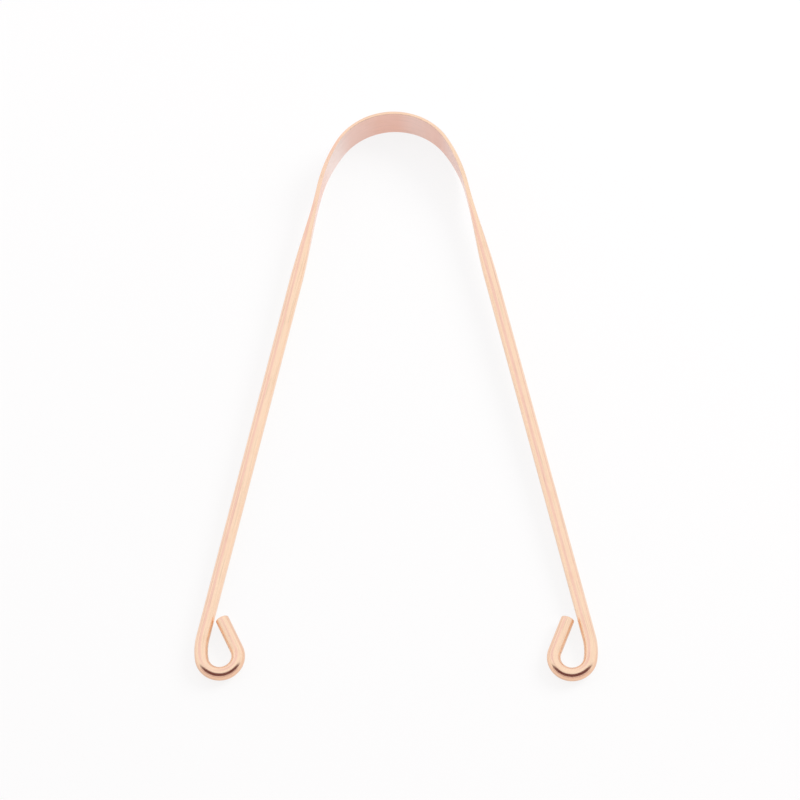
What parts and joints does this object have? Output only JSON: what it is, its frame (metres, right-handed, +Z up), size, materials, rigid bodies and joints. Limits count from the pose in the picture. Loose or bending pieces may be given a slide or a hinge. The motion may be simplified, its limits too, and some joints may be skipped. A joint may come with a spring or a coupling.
{
  "type": "tongue scraper",
  "caption": "Copper tongue scraper: a rod flattened into a thin scraping arch, with splayed springy round arms whose ends curl inwards into open eyes.",
  "frame": {"origin": "on the surface the scraper lies on, under the middle of its overall box", "axes": "+Y from the eyes towards the scraping arch, +X to the right seen from above, +Z up"},
  "size_m": [0.088, 0.1396, 0.0087],
  "materials": {
    "copper_strip": "satin copper",
    "copper_rod": "drawn and polished copper"
  },
  "bodies": {
    "arch": {"scraping_arch": "copper_strip", "left_spring_strip": "copper_strip", "right_spring_strip": "copper_strip"},
    "left_handle": {"left_neck": "copper_rod", "left_arm": "copper_rod", "left_eye": "copper_rod", "left_eye_tail": "copper_rod"},
    "right_handle": {"right_neck": "copper_rod", "right_arm": "copper_rod", "right_eye": "copper_rod", "right_eye_tail": "copper_rod"}
  },
  "joints": [
    {"name": "left_arm_flex", "type": "hinge", "parent": "arch", "child": "left_handle", "pos_m": [-0.01482, 0.05832, 0.00418], "axis": [0, -0.0211, 0.9998], "range_deg": [-5, 8], "stiffness_Nm_per_rad": 0.95, "deforming": ["left_spring_strip"]},
    {"name": "right_arm_flex", "type": "hinge", "parent": "arch", "child": "right_handle", "pos_m": [0.01437, 0.05832, 0.00418], "axis": [0, 0.0211, -0.9998], "range_deg": [-5, 8], "stiffness_Nm_per_rad": 0.95, "deforming": ["right_spring_strip"]}
  ]
}
